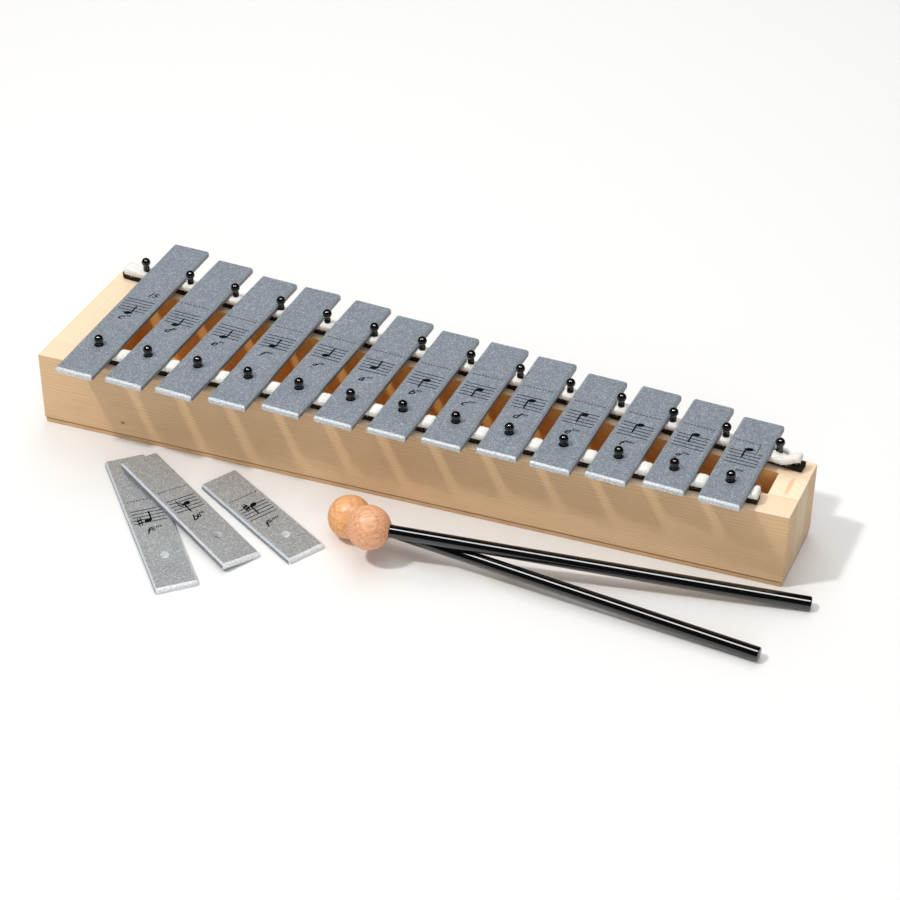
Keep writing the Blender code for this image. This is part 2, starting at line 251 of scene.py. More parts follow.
def woodMaterial(name, look):
    material, tree, shader, where = startMaterial(name, look["roughness"], 0.0, look.get("specular", 0.4))
    turn = [math.radians(a) for a in look["turn"]]
    spun = put(tree, "ShaderNodeMapping", {"Vector": where, "Rotation": turn, "Location": look["pith"]})
    grain = spun.outputs[0]
    figure = useGroup(
        tree,
        woodFigure,
        {
            "Vector": grain,
            "Ring Spacing": look["ringSpacing"],
            "Wander": look["wander"],
            "Fibre Width": look["fibreWidth"],
            "Fibre Stretch": look.get("fibreStretch", 0.018),
        },
    )
    ringShare = sums(tree, "MULTIPLY", figure["Rings"], look["ringDepth"])
    colour = mixed(tree, ringShare, look["pale"], look["dark"])
    cloudShare = between(tree, figure["Clouds"], 0.35, 0.75, 0.0, look["cloudDepth"])
    colour = mixed(tree, cloudShare, colour, look["warm"])
    fibreShare = between(tree, figure["Fibres"], 0.42, 0.75, 0.0, look["fibreDepth"])
    colour = mixed(tree, fibreShare, colour, look["dark"])
    for knot in look.get("knots", []):
        offset = vectorSum(tree, "SUBTRACT", where, knot["place"])
        offset = vectorSum(tree, "MULTIPLY", offset, knot["shape"])
        reach = put(tree, "ShaderNodeVectorMath", {0: offset}, operation="LENGTH").outputs["Value"]
        share = between(tree, reach, knot["size"] * 0.4, knot["size"], knot["depth"], 0.0, smooth=True)
        colour = mixed(tree, share, colour, knot["colour"])
    # An optional darker band between two heights; the base panel has one along its top edge, just under the
    # boards.
    if "seam" in look:
        seam = look["seam"]
        height = put(tree, "ShaderNodeSeparateXYZ", {0: where}).outputs["Z"]
        share = between(tree, height, seam["from"], seam["to"], 0.0, seam["depth"])
        colour = mixed(tree, share, colour, seam["colour"])
    tree.links.new(colour, shader.inputs["Base Color"])
    touch = useGroup(tree, handling, {"Vector": where, "Smudge Size": 0.025})
    low, high = look["roughness"] - 0.08, look["roughness"] + 0.1
    tree.links.new(between(tree, touch["Smudge"], 0.3, 0.7, low, high), shader.inputs["Roughness"])
    height = sums(tree, "MULTIPLY_ADD", figure["Fibres"], 0.6, figure["Rings"])
    setBump(tree, shader, height, look["bump"], 0.0002)
    return material


# The box: two boards, two end blocks and the base panel, closed up to their glue lines.

taper = math.degrees(math.atan2(36.65 - 17.4, 330.0))
pineLook = {
    "pale": (0.77, 0.53, 0.305, 1),
    "dark": (0.56, 0.325, 0.145, 1),
    "warm": (0.72, 0.45, 0.235, 1),
    "ringSpacing": 0.0014,
    "ringDepth": 0.32,
    "wander": 0.0035,
    "fibreWidth": 0.0003,
    "fibreDepth": 0.35,
    "cloudDepth": 0.35,
    "roughness": 0.5,
    "bump": 0.12,
}
frontPine = woodMaterial(
    "frontBoardPine",
    pineLook
    | {
        "turn": (0, 0, -taper),
        "pith": (0, -0.035, -0.11),
        "knots": [
            {
                "place": (-0.151, -0.0434, 0.0105),
                "shape": (0.6, 1, 1.1),
                "size": 0.0011,
                "depth": 0.85,
                "colour": (0.22, 0.11, 0.05, 1),
            }
        ],
    },
)
backPine = woodMaterial("backBoardPine", pineLook | {"turn": (0, 0, taper), "pith": (0.1, 0.05, -0.12)})
leftGrain = {"turn": (0, 0, 90), "pith": (0.02, 0.03, -0.15), "ringSpacing": 0.0026, "ringDepth": 0.18}
leftPine = woodMaterial("leftBlockPine", pineLook | leftGrain)
rightPine = woodMaterial(
    "rightBlockPine",
    pineLook
    | {
        "turn": (0, 90, 0),
        "pith": (0, 0.05, 0.16),
        "pale": (0.78, 0.63, 0.42, 1),
        "ringSpacing": 0.0030,
        "ringDepth": 0.25,
        "knots": [
            {
                "place": (0.1893, 0.0005, 0.0423),
                "shape": (1, 0.22, 0.4),
                "size": 0.0024,
                "depth": 0.6,
                "colour": (0.83, 0.47, 0.22, 1),
            }
        ],
    },
)
panelPine = woodMaterial(
    "basePanelPine",
    pineLook
    | {
        "turn": (0, 0, 0),
        "pith": (0, 0.3, -0.02),
        "pale": (0.72, 0.46, 0.25, 1),
        "dark": (0.50, 0.29, 0.13, 1),
        "ringSpacing": 0.0012,
        "seam": {"from": 0.0021, "to": 0.0025, "colour": (0.20, 0.105, 0.05, 1), "depth": 0.95},
    },
)
# The tops of the boards and end blocks take a paler copy of the pine, a painted highlight for the light
# falling on them.
litTopTint = {"pale": (0.93, 0.735, 0.53, 1), "dark": (0.80, 0.55, 0.34, 1), "warm": (0.90, 0.64, 0.43, 1)}
litBoardTop = woodMaterial("boardTopPine", pineLook | litTopTint | {"turn": (0, 0, 0), "pith": (0.1, 0.3, -0.12)})
litLeftTop = woodMaterial("leftBlockTopPine", pineLook | litTopTint | leftGrain)
litRightTop = woodMaterial(
    "rightBlockTopPine",
    pineLook
    | litTopTint
    | {
        "turn": (0, 90, 0),
        "pith": (0, 0.05, 0.16),
        "pale": (0.97, 0.83, 0.61, 1),
        "ringSpacing": 0.0034,
        "ringDepth": 0.2,
        "knots": [
            {
                "place": (0.1893, 0.0005, 0.0423),
                "shape": (1, 0.16, 0.3),
                "size": 0.0016,
                "depth": 0.75,
                "colour": (0.85, 0.50, 0.24, 1),
            }
        ],
    },
)
# Inner faces take a saturated orange copy of the pine, painted bounce light for the light reflected around
# inside the box.
innerPine = woodMaterial(
    "innerPine",
    pineLook
    | {
        "turn": (0, 0, 0),
        "pith": (0, 0.3, -0.12),
        "pale": (1.0, 0.60, 0.21, 1),
        "dark": (0.88, 0.42, 0.11, 1),
        "warm": (0.97, 0.52, 0.16, 1),
    },
)


def newObject(name, mesh, materials=()):
    made = bpy.data.objects.new(name, mesh)
    bpy.context.scene.collection.objects.link(made)
    for material in materials:
        mesh.materials.append(material)
    return made


def meshFrom(name, shape):
    mesh = bpy.data.meshes.new(name)
    shape.to_mesh(mesh)
    shape.free()
    return mesh


def settled(made):
    # The evaluated object as a plain mesh, with its modifiers removed.
    bpy.context.view_layer.update()
    depsgraph = bpy.context.evaluated_depsgraph_get()
    mesh = bpy.data.meshes.new_from_object(made.evaluated_get(depsgraph), depsgraph=depsgraph)
    made.modifiers.clear()
    made.data = mesh
    return made


def nodePoints(node):
    return [v.co.copy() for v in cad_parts[node].data.vertices]


def endSpan(node, x, reach=0.0012):
    # The lowest and highest y of a CAD node near one x.
    ys = [p.y for p in nodePoints(node) if abs(p.x - x) < reach]
    return min(ys), max(ys)


boxPieces = {
    "panelTop": 3.0 * mm,
    "edgeRadius": 0.4 * mm,
    "jointRadius": 0.2 * mm,
    "glueGap": 0.3 * mm,
    "footGroove": 0.45 * mm,
}


def easedBlock(name, corners, bottom, top, radius, materials):
    shape = bmesh.new()
    low = [shape.verts.new((x, y, bottom)) for x, y in corners]
    high = [shape.verts.new((x, y, top)) for x, y in corners]
    shape.faces.new(low[::-1])
    shape.faces.new(high)
    for i in range(4):
        j = (i + 1) % 4
        shape.faces.new((low[i], low[j], high[j], high[i]))
    bmesh.ops.recalc_face_normals(shape, faces=shape.faces)
    bmesh.ops.bevel(shape, geom=shape.edges, offset=radius, segments=3, profile=0.6, affect="EDGES")
    made = newObject(name, meshFrom(name, shape), materials)
    made.data.shade_smooth()
    made.data.set_sharp_from_angle(angle=math.radians(50))
    return made


def facesInward(face, piece):
    # Whether a face looks into the box's hollow.
    inward = {"frontBoard": (0, 1, 0), "backBoard": (0, -1, 0)}
    inward |= {"leftEndBlock": (1, 0, 0), "rightEndBlock": (-1, 0, 0)}
    return piece in inward and face.normal.dot(Vector(inward[piece])) > 0.9


def boxPiece(name, node, material, top, bottom, grow=0.0, radius=None):
    low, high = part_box(node)
    leftLow, leftHigh = endSpan(node, low.x)
    rightLow, rightHigh = endSpan(node, high.x)
    corners = [
        (low.x, leftLow - grow),
        (high.x, rightLow - grow),
        (high.x, rightHigh + grow),
        (low.x, leftHigh + grow),
    ]
    radius = radius or boxPieces["edgeRadius"]
    # Faces looking into the hollow take the orange inner pine, painted bounce light.
    made = easedBlock(name, corners, bottom, high.z, radius, [material, innerPine, top])
    # Faces looking up take the paler top copy of the pine, a painted highlight.
    for face in made.data.polygons:
        face.material_index = 1 if facesInward(face, name) else 2 if face.normal.z > 0.5 else 0
    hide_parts(node)
    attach(made, "resonator")


panelTop = boxPieces["panelTop"]
blockFit = boxPieces["glueGap"], boxPieces["jointRadius"]
boxPiece("frontBoard", "front_board", frontPine, litBoardTop, panelTop)
boxPiece("backBoard", "back_board", backPine, litBoardTop, panelTop)
boxPiece("leftEndBlock", "left_end_block", leftPine, litLeftTop, panelTop, *blockFit)
boxPiece("rightEndBlock", "right_end_block", rightPine, litRightTop, panelTop, *blockFit)
# The panel's upper face, inside the box, takes the same orange painted bounce light.
boxPiece("basePanel", "base_panel", panelPine, innerPine, 0.0, 0.0, boxPieces["footGroove"])
print("box done")


# Bars: each follows its pitch, with a drilled hole and ground ends; the chamfer is painted lighter, partly
# worn paint and partly painted highlight, and the sides darker as painted shade.

barSizes = {
    "lowestPitch": 1046.5,
    "lowestLength": 127.5 * mm,
    "width": 20 * mm,
    "thickness": 3.2 * mm,
    "frontCorner": 1.0 * mm,
    "backCorner": 1.2 * mm,
    "holeDiameter": 4.9 * mm,
    "bevel": 0.9 * mm,
    "underBevel": 0.3 * mm,
    "holeBevel": 0.12 * mm,
    "spread": 0.5 * mm,
}
pitches = [1046.5, 1174.7, 1318.5, 1396.9, 1568.0, 1760.0, 1975.5, 2093.0]
pitches += [2349.3, 2637.0, 2793.8, 3136.0, 3520.0]
sparePitches = {"spare_bar_f_sharp": 1480.0, "spare_bar_b_flat": 1864.7, "spare_bar_high_f_sharp": 2960.0}


def tunedBarTree():
    tree, given, made = startGroup(
        "tunedBar",
        "GeometryNodeTree",
        {
            "Pitch": number(1046.5),
            "Lowest Pitch": number(1046.5),
            "Lowest Length": number(0.1275),
            "Width": number(0.02),
            "Thickness": number(0.0032),
            "Spread": number(0.0005),
            "Front Corner": number(0.0007),
            "Back Corner": number(0.0017),
            "Hole Diameter": number(0.0054),
            "Hole From Front": number(0.027),
            "Paint": ("NodeSocketMaterial", None),
        },
        {"Geometry": "NodeSocketGeometry"},
    )
    ratio = sums(tree, "SQRT", sums(tree, "DIVIDE", given["Lowest Pitch"], given["Pitch"]))
    length = sums(tree, "MULTIPLY", given["Lowest Length"], ratio)
    twice = sums(tree, "MULTIPLY", given["Spread"], 2.0)
    wide, long = sums(tree, "ADD", given["Width"], twice), sums(tree, "ADD", length, twice)
    outline = put(tree, "GeometryNodeCurvePrimitiveQuadrilateral", {"Width": wide, "Height": long})
    place = put(tree, "GeometryNodeInputPosition").outputs[0]
    height = put(tree, "ShaderNodeSeparateXYZ", {0: place}).outputs["Y"]
    atBack = sums(tree, "GREATER_THAN", height, 0.0)
    extra = sums(tree, "SUBTRACT", given["Back Corner"], given["Front Corner"])
    radius = sums(tree, "MULTIPLY_ADD", atBack, extra, given["Front Corner"])
    corners = {"Curve": outline.outputs[0], "Radius": radius, "Count": 5}
    rounded = put(tree, "GeometryNodeFilletCurve", corners, mode="POLY")
    shift = sums(tree, "SUBTRACT", sums(tree, "MULTIPLY", length, 0.5), given["Hole From Front"])
    offset = put(tree, "ShaderNodeCombineXYZ", {"Y": shift}).outputs[0]
    moved = put(tree, "GeometryNodeSetPosition", {"Geometry": rounded.outputs[0], "Offset": offset})
    holeRadius = sums(tree, "MULTIPLY", given["Hole Diameter"], 0.5)
    hole = put(tree, "GeometryNodeCurvePrimitiveCircle", {"Resolution": 48, "Radius": holeRadius})
    curves = tree.nodes.new("GeometryNodeJoinGeometry")
    tree.links.new(moved.outputs[0], curves.inputs[0])
    tree.links.new(hole.outputs[0], curves.inputs[0])
    flat = put(tree, "GeometryNodeFillCurve", {"Curve": curves.outputs[0]})
    rise = put(tree, "ShaderNodeCombineXYZ", {"Z": given["Thickness"]}).outputs[0]
    inputs = {"Mesh": flat.outputs[0], "Offset": rise, "Offset Scale": 1.0, "Individual": False}
    raised = put(tree, "GeometryNodeExtrudeMesh", inputs)
    under = put(tree, "GeometryNodeFlipFaces", {"Mesh": flat.outputs[0]})
    both = tree.nodes.new("GeometryNodeJoinGeometry")
    tree.links.new(raised.outputs[0], both.inputs[0])
    tree.links.new(under.outputs[0], both.inputs[0])
    closed = put(tree, "GeometryNodeMergeByDistance", {"Geometry": both.outputs[0], "Distance": 1e-6})
    return finishTree(tree, made, closed.outputs[0], given["Paint"])


def addTree(made, tree, values):
    modifier = made.modifiers.new(tree.name, "NODES")
    modifier.node_group = tree
    for socket in tree.interface.items_tree:
        if socket.in_out == "INPUT" and socket.name in values:
            modifier[socket.identifier] = values[socket.name]
    return modifier


barPaintLook = {
    "colour": (0.290, 0.327, 0.371, 1),
    "flakeDark": (0.162, 0.186, 0.215, 1),
    "flakeBright": (0.53, 0.58, 0.635, 1),
    "flakeSize": 0.00046,
    "metallic": 0.15,
    "roughness": 0.42,
}
# The spare bars take a lighter copy of the bar paint, painted light for the brighter light they catch on the
# white floor.
litSparePaintLook = barPaintLook | {
    "metallic": 0.35,
    "colour": (0.465, 0.48, 0.492, 1),
    "flakeDark": (0.29, 0.303, 0.315, 1),
    "flakeBright": (0.77, 0.79, 0.805, 1),
}


def barPaintMaterial(name, look):
    material, tree, shader, where = startMaterial(name, look["roughness"], look["metallic"])
    flakes = useGroup(tree, paintFlakes, {"Vector": where, "Flake Size": look["flakeSize"]})
    mottle = between(tree, flakes["Mottle"], 0.32, 0.68)
    colour = mixed(tree, mottle, look["flakeDark"], look["colour"])
    sparkle = between(tree, flakes["Flakes"], 0.65, 1.0, 0.0, 0.72)
    colour = mixed(tree, sparkle, colour, look["flakeBright"])
    gloom = between(tree, flakes["Flakes"], 0.0, 0.3, 0.65, 0.0)
    colour = mixed(tree, gloom, colour, look["flakeDark"])
    tree.links.new(colour, shader.inputs["Base Color"])
    touch = useGroup(tree, handling, {"Vector": where, "Smudge Size": 0.018})
    tree.links.new(between(tree, touch["Smudge"], 0.3, 0.7, 0.36, 0.5), shader.inputs["Roughness"])
    setBump(tree, shader, flakes["Mottle"], 0.35, 0.00012)
    return material


def grainMaterial(name, low, high, look):
    # A finish whose fine grain runs from one colour to another.
    material, tree, shader, where = startMaterial(name, look["roughness"], look["metallic"], look["specular"])
    inputs = {"Vector": where, "Smudge Size": look["smudgeSize"], "Grain Size": look["grainSize"]}
    touch = useGroup(tree, handling, inputs)
    share = between(tree, touch["Grain"], *look["shares"])
    tree.links.new(mixed(tree, share, low, high), shader.inputs["Base Color"])
    setBump(tree, shader, touch["Grain"], *look["bump"])
    return material


barPaint = barPaintMaterial("speckledBarPaint", barPaintLook)
litSparePaint = barPaintMaterial("speckledLitSparePaint", litSparePaintLook)
groundLook = {
    "roughness": 0.5,
    "metallic": 0.15,
    "specular": 0.5,
    "smudgeSize": 0.004,
    "grainSize": 0.0007,
    "shares": (0.38, 0.6),
    "bump": (0.5, 0.0002),
}
bevelLook = {
    "roughness": 0.38,
    "metallic": 0.15,
    "specular": 0.5,
    "smudgeSize": 0.006,
    "grainSize": 0.0009,
    "shares": (0.5, 0.75),
    "bump": (0.3, 0.0001),
}
sideShadeLook = bevelLook | {"roughness": 0.45}
spareSideShadeLook = sideShadeLook | {"metallic": 0.2}
barEdges = [
    grainMaterial("groundBarEnd", (0.46, 0.50, 0.53, 1), (0.68, 0.71, 0.73, 1), groundLook),
    grainMaterial("bevelWearAndHighlight", (0.31, 0.345, 0.385, 1), (0.50, 0.535, 0.57, 1), bevelLook),
    grainMaterial("cutBarSide", (0.17, 0.185, 0.20, 1), (0.34, 0.36, 0.38, 1), sideShadeLook),
]
# Edge colours for the spare bars are lighter copies as well, painted light.
litSpareEdges = [
    grainMaterial("groundLitSpareEnd", (0.66, 0.70, 0.73, 1), (0.93, 0.95, 0.96, 1), groundLook),
    grainMaterial("spareBevelWearAndHighlight", (0.62, 0.66, 0.71, 1), (0.86, 0.89, 0.92, 1), bevelLook),
    grainMaterial("shadedSpareSide", (0.22, 0.23, 0.245, 1), (0.40, 0.415, 0.43, 1), spareSideShadeLook),
]


def barPlace(node):
    # A matrix with its origin at the hole's centre on the underside, Y along the bar to the back and Z up.
    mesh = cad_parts[node].data
    points = nodePoints(node)
    edge = max(mesh.edges, key=lambda e: (points[e.vertices[0]] - points[e.vertices[1]]).length)
    along = (points[edge.vertices[1]] - points[edge.vertices[0]]).normalized()
    top = max((p for p in mesh.polygons if p.normal.z > 0.9), key=lambda p: p.area)
    up = top.normal.copy()
    along = (along - up * along.dot(up)).normalized()
    side = along.cross(up).normalized()
    if side.x < 0:
        side, along = -side, -along
    ys = [p.dot(along) for p in points]
    xs = [p.dot(side) for p in points]
    middle = (min(xs) + max(xs)) / 2
    inner = [p for p in points if abs(p.dot(side) - middle) < barSizes["width"] * 0.25]
    holeY = (min(p.dot(along) for p in inner) + max(p.dot(along) for p in inner)) / 2
    bottom = min(p.dot(up) for p in points)
    origin = side * middle + along * holeY + up * bottom
    place = Matrix((side, along, up)).transposed().to_4x4()
    place.translation = origin
    return place, holeY - min(ys), max(ys) - holeY


tunedBar = tunedBarTree()
barPlaces = {}


def makeBar(node, pitch, paint):
    place, front, back = barPlace(node)
    barPlaces[node] = (place, front, back)
    name = node.title().replace("_", "")
    name = name[0].lower() + name[1:]
    made = newObject(name, bpy.data.meshes.new(name))
    values = {
        "Pitch": pitch,
        "Lowest Pitch": barSizes["lowestPitch"],
        "Lowest Length": barSizes["lowestLength"],
        "Width": barSizes["width"],
        "Thickness": barSizes["thickness"],
        "Spread": barSizes["spread"],
        "Front Corner": barSizes["frontCorner"],
        "Back Corner": barSizes["backCorner"],
        "Hole Diameter": barSizes["holeDiameter"],
        "Hole From Front": front,
        "Paint": paint,
    }
    addTree(made, tunedBar, values)
    settled(made)
    shape = bmesh.new()
    shape.from_mesh(made.data)
    middle = barSizes["thickness"] / 2

    def nearHole(point):
        return point.to_2d().length < barSizes["holeDiameter"] * 0.75

    for above, hole, offset in (
        (True, False, barSizes["bevel"]),
        (False, False, barSizes["underBevel"]),
        (True, True, barSizes["holeBevel"]),
    ):
        rims = []
        for edge in shape.edges:
            ends = [v.co for v in edge.verts]
            level = all((p.z > middle) == above and nearHole(p) == hole for p in ends)
            if level and edge.calc_face_angle(0) > math.radians(60):
                rims.append(edge)
        bmesh.ops.bevel(shape, geom=rims, offset=offset, segments=1, affect="EDGES")
    shape.normal_update()
    for face in shape.faces:
        inHole = nearHole(face.calc_center_median())
        face.smooth = True
        face.material_index = 0
        if not inHole and face.normal.y < -0.5:
            face.material_index = 1
        # On the spare bars the hole walls take the bright ground colour: bare drilled metal, brightened as
        # painted light from the floor below; the bars on the box keep the paint there.
        elif inHole and paint == litSparePaint and abs(face.normal.z) < 0.5:
            face.material_index = 1
        # Chamfers take a lighter colour: partly worn paint, partly painted highlight.
        elif not inHole and 0.3 < face.normal.z < 0.95:
            face.material_index = 2
        # Vertical sides take a darker colour as painted shade.
        elif not inHole and abs(face.normal.x) > 0.5:
            face.material_index = 3
    shape.transform(place)
    made.data.materials.clear()
    for material in [paint] + (litSpareEdges if paint == litSparePaint else barEdges):
        made.data.materials.append(material)
    shape.to_mesh(made.data)
    shape.free()
    made.data.set_sharp_from_angle(angle=math.radians(28))
    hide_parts(node)
    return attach(made, node)


for i, pitch in enumerate(pitches):
    makeBar(f"bar_{i + 1:02d}", pitch, barPaint)
for node, pitch in sparePitches.items():
    makeBar(node, pitch, litSparePaint)
print("bars done")


# Printed notes: a staff, a row of dashes for the higher octave, the note and its name.

printSizes = {
    "staffLength": 16 * mm,
    "staffSpacing": 2.55 * mm,
    "lineWidth": 0.5 * mm,
    "dashCount": 10,
    "dashLength": 1.05 * mm,
    "dashRise": 13.4 * mm,
    "inkHeight": 0.035 * mm,
    "noteWidth": 4.0 * mm,
    "noteHeight": 2.8 * mm,
    "stemLength": 7.2 * mm,
    "nameDrop": 7.4 * mm,
    "nameSize": 6.4 * mm,
    "stemWidth": 0.85 * mm,
    "ledgerReach": 2.8,
    "octaveSignRise": 10.2 * mm,
    "octaveSignSize": 5.2 * mm,
    "lastDrop": 1.62 * mm,
}


inkLook = {
    "roughness": 0.75,
    "metallic": 0.0,
    "specular": 0.05,
    "smudgeSize": 0.003,
    "grainSize": 0.0004,
    "shares": (0.5, 0.72),
    "bump": (0.2, 0.0001),
}
printedInk = grainMaterial("printedInk", (0.004, 0.005, 0.008, 1), (0.016, 0.018, 0.022, 1), inkLook)


def markRowTree():
    tree, given, made = startGroup(
        "markRow",
        "GeometryNodeTree",
        {
            "Count": ("NodeSocketInt", 5),
            "Start": ("NodeSocketVector", (0, 0, 0)),
            "Step": ("NodeSocketVector", (0, 0.00255, 0)),
            "Mark Size": ("NodeSocketVector", (0.016, 0.0003, 0.00004)),
            "Ink": ("NodeSocketMaterial", None),
        },
        {"Geometry": "NodeSocketGeometry"},
    )
    inputs = {"Count": given["Count"], "Start Location": given["Start"], "Offset": given["Step"]}
    row = put(tree, "GeometryNodeMeshLine", inputs)
    mark = put(tree, "GeometryNodeMeshCube", {"Size": given["Mark Size"]})
    inputs = {"Points": row.outputs[0], "Instance": mark.outputs[0]}
    marks = put(tree, "GeometryNodeInstanceOnPoints", inputs)
    return finishTree(tree, made, marks.outputs[0], given["Ink"])


markRow = markRowTree()


def rowShape(shape, count, start, step, size):
    made = newObject("markRowMaker", bpy.data.meshes.new("markRowMaker"))
    values = {"Count": count, "Start": start, "Step": step, "Mark Size": size, "Ink": printedInk}
    addTree(made, markRow, values)
    settled(made)
    shape.from_mesh(made.data)
    bpy.data.objects.remove(made)


def inkPatch(shape, outline, height):
    # A closed flat patch with this outline, resting on the bar.
    low = [shape.verts.new((x, y, 0.0)) for x, y in outline]
    high = [shape.verts.new((x, y, height)) for x, y in outline]
    faces = [shape.faces.new(low[::-1]), shape.faces.new(high)]
    for i in range(len(outline)):
        j = (i + 1) % len(outline)
        faces.append(shape.faces.new((low[i], low[j], high[j], high[i])))
    bmesh.ops.recalc_face_normals(shape, faces=faces)


def stroke(shape, start, end, width):
    start, end = Vector(start), Vector(end)
    along = (end - start).normalized()
    side = Vector((-along.y, along.x)) * width / 2
    outline = [start - side, end - side, end + side, start + side]
    inkPatch(shape, [tuple(p) for p in outline], printSizes["inkHeight"])


def markStroke(shape, x, y, start, end, width):
    # A stroke between two offsets from a place; offsets and width are in mm.
    start = x + start[0] * mm, y + start[1] * mm
    end = x + end[0] * mm, y + end[1] * mm
    stroke(shape, start, end, width * mm)


def noteHead(shape, x, y):
    wide, tall = printSizes["noteWidth"] / 2, printSizes["noteHeight"] / 2
    points = []
    for i in range(28):
        a = math.tau * i / 28
        flat = Vector((wide * math.cos(a), tall * math.sin(a)))
        flat.rotate(Matrix.Rotation(math.radians(20), 2))
        points.append((x + flat.x, y + flat.y))
    inkPatch(shape, points, printSizes["inkHeight"])


def sharpSign(shape, x, y):
    for side in (-0.65, 0.65):
        markStroke(shape, x, y, (side, side * 0.3 - 3.2), (side, side * 0.3 + 3.2), 0.5)
    for rise in (-1.1, 1.1):
        markStroke(shape, x, y, (-1.5, rise - 0.4), (1.5, rise + 0.4), 1.05)


def flatSign(shape, x, y):
    markStroke(shape, x, y, (-0.9, -1.5), (-0.9, 4.2), 0.5)
    bow = []
    for i in range(13):
        a = math.pi * (i / 12 - 0.5)
        across = 2.0 * math.cos(a) * (1 - 0.2 * math.sin(a)) - 0.9
        bow.append((across, 1.4 * math.sin(a)))
    for first, second in zip(bow, bow[1:]):
        markStroke(shape, x, y, first, second, 0.7)


def wordShape(shape, text, x, y, size, slant=0.35):
    curve = bpy.data.curves.new("noteName", "FONT")
    curve.body = text
    curve.size = size
    curve.shear = slant
    curve.resolution_u = 4
    curve.offset = 0.11 * mm
    curve.extrude = printSizes["inkHeight"] / 2
    holder = newObject("noteName", curve)
    bpy.context.view_layer.update()
    depsgraph = bpy.context.evaluated_depsgraph_get()
    mesh = bpy.data.meshes.new_from_object(holder.evaluated_get(depsgraph))
    mesh.transform(Matrix.Translation((x, y, printSizes["inkHeight"] / 2)))
    shape.from_mesh(mesh)
    bpy.data.objects.remove(holder)
    bpy.data.curves.remove(curve)


def makePrint(node, letter, primes, step, sign="", octaveMark=False, lastBar=False):
    place, front, back = barPlaces[node]
    centre = (back - front) / 2 + (3.0 * mm if sign else 1.6 * mm)
    spacing = printSizes["staffSpacing"]
    ink = printSizes["inkHeight"]
    half = printSizes["staffLength"] / 2
    bottom = centre - 2 * spacing
    shape = bmesh.new()
    line = (printSizes["staffLength"], printSizes["lineWidth"], ink)
    rowShape(shape, 5, (0, bottom, ink / 2), (0, spacing, 0), line)
    dashY = centre + printSizes["dashRise"]
    dash = (printSizes["dashLength"], printSizes["lineWidth"], ink)
    if octaveMark:
        wordShape(shape, "15", 0.6 * mm, centre + printSizes["octaveSignRise"], printSizes["octaveSignSize"])
    else:
        count = printSizes["dashCount"] - (2 if lastBar else 0)
        pace = (printSizes["staffLength"] - printSizes["dashLength"]) / (printSizes["dashCount"] - 1)
        rowShape(shape, count, (printSizes["dashLength"] / 2 - half, dashY, ink / 2), (pace, 0, 0), dash)
    if lastBar:
        drop = (printSizes["lineWidth"], printSizes["dashLength"], ink)
        rowShape(shape, 5, (4.8 * mm, dashY - 0.5 * mm, ink / 2), (0, -printSizes["lastDrop"], 0), drop)
    noteY = bottom + step * spacing / 2
    stemUp = step < 4
    noteX = -1.0 * mm if stemUp else 0.7 * mm
    noteHead(shape, noteX, noteY)
    side = printSizes["noteWidth"] / 2 - 0.3 * mm
    turn = 1 if stemUp else -1
    stemX, stemEnd = noteX + turn * side, noteY + turn * printSizes["stemLength"]
    stroke(shape, (stemX, noteY), (stemX, stemEnd), printSizes["stemWidth"])
    if step in (-2, 10):
        ledger = printSizes["ledgerReach"]
        markStroke(shape, noteX, noteY, (-ledger, 0), (ledger, 0), printSizes["lineWidth"] / mm)
    if sign == "sharp":
        sharpSign(shape, noteX - 4.1 * mm, noteY)
    if sign == "flat":
        flatSign(shape, noteX - 3.4 * mm, noteY)
    size = printSizes["nameSize"]
    nameY = bottom - printSizes["nameDrop"] - 0.25 * size
    wordShape(shape, letter, -3.9 * mm, nameY, size)
    markX = -0.4 * mm
    if sign == "sharp":
        for shift in (-0.42, 0.42):
            markStroke(shape, markX, nameY, (shift, 1.2), (shift + 0.4, 4.6), 0.28)
            markStroke(shape, markX, nameY, (-0.8, 2.8 + shift), (1.2, 3.0 + shift), 0.36)
        markX += 1.9 * mm
    if sign == "flat":
        wordShape(shape, "b", markX - 0.4 * mm, nameY + 1.2 * mm, size * 0.62)
        markX += 1.9 * mm
    for i in range(primes):
        markStroke(shape, markX + i * mm, nameY, (0, 3.2), (0.5, 4.7), 0.5)
    shape.transform(place @ Matrix.Translation((0, 0, barSizes["thickness"] - 0.002 * mm)))
    name = "print" + node.title().replace("_", "")
    mesh = meshFrom(name, shape)
    mesh.materials.clear()
    made = newObject(name, mesh, [printedInk])
    for face in mesh.polygons:
        face.material_index = 0
    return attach(made, node)


for i, letter in enumerate("cdefgabcdefga"):
    makePrint(f"bar_{i + 1:02d}", letter, 3 if i < 7 else 4, i - 2, "", i == 0, i == 12)
makePrint("spare_bar_f_sharp", "f", 3, 1, "sharp")
makePrint("spare_bar_b_flat", "b", 3, 4, "flat")
makePrint("spare_bar_high_f_sharp", "f", 4, 8, "sharp")
print("printing done")


# Black damping strips: dense dark fibre, cut square, under the white felts.

